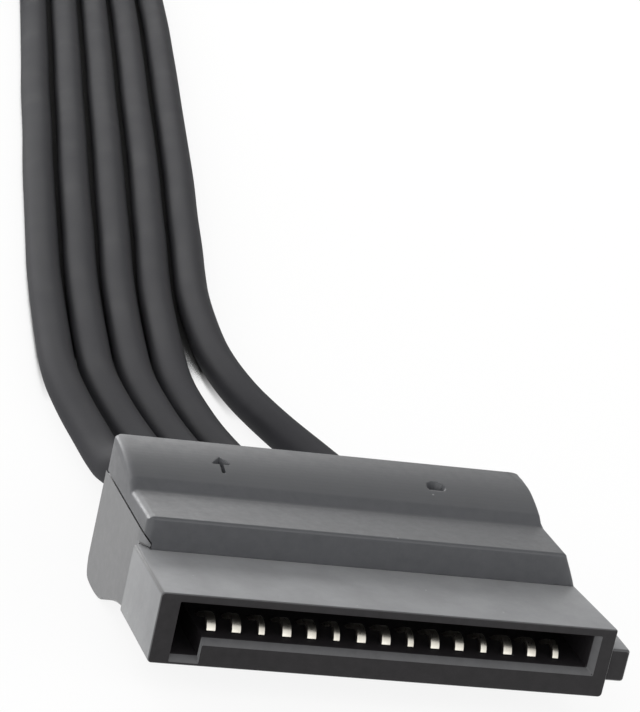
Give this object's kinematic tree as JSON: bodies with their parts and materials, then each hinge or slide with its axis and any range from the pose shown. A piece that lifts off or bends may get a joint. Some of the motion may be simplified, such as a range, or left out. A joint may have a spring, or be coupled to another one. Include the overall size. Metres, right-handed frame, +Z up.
{
  "type": "drive power extension cable",
  "caption": "Power extension cable for drives: a keyed slot receptacle and a shrouded keyed plug joined by flat-lying insulated wires, the spare length folded and tied.",
  "frame": {"origin": "centre of the receptacle connector's footprint, on the surface it lies on", "axes": "+X along the row of contacts, away from the key slot; -Y out of the receptacle's mating face; +Y along the wires to the plug; +Z up"},
  "size_m": [0.0418, 0.2189, 0.0079],
  "materials": {
    "black_housing": "moulded satin black, finely grained",
    "black_cap": "moulded satin black, a little duller than the housing",
    "tinned_contact": "bright tin over copper alloy",
    "wire_insulation": "extruded soft black insulation, satin",
    "tie_nylon": "moulded black nylon, satin"
  },
  "bodies": {
    "root": {"receptacle_housing": "black_housing", "receptacle_cap": "black_cap", "receptacle_terminal_1": "tinned_contact", "receptacle_terminal_2": "tinned_contact", "receptacle_terminal_3": "tinned_contact", "receptacle_terminal_4": "tinned_contact", "receptacle_terminal_5": "tinned_contact", "wire_1": "wire_insulation", "wire_2": "wire_insulation", "wire_3": "wire_insulation", "wire_4": "wire_insulation", "wire_5": "wire_insulation", "wire_1_end": "wire_insulation", "wire_2_end": "wire_insulation", "wire_3_end": "wire_insulation", "wire_4_end": "wire_insulation", "wire_5_end": "wire_insulation", "wire_hank": "wire_insulation", "hank_tie": "tie_nylon", "plug_housing": "black_housing", "plug_cap": "black_cap", "plug_terminal_1": "tinned_contact", "plug_terminal_2": "tinned_contact", "plug_terminal_3": "tinned_contact", "plug_terminal_4": "tinned_contact", "plug_terminal_5": "tinned_contact"}
  },
  "joints": []
}
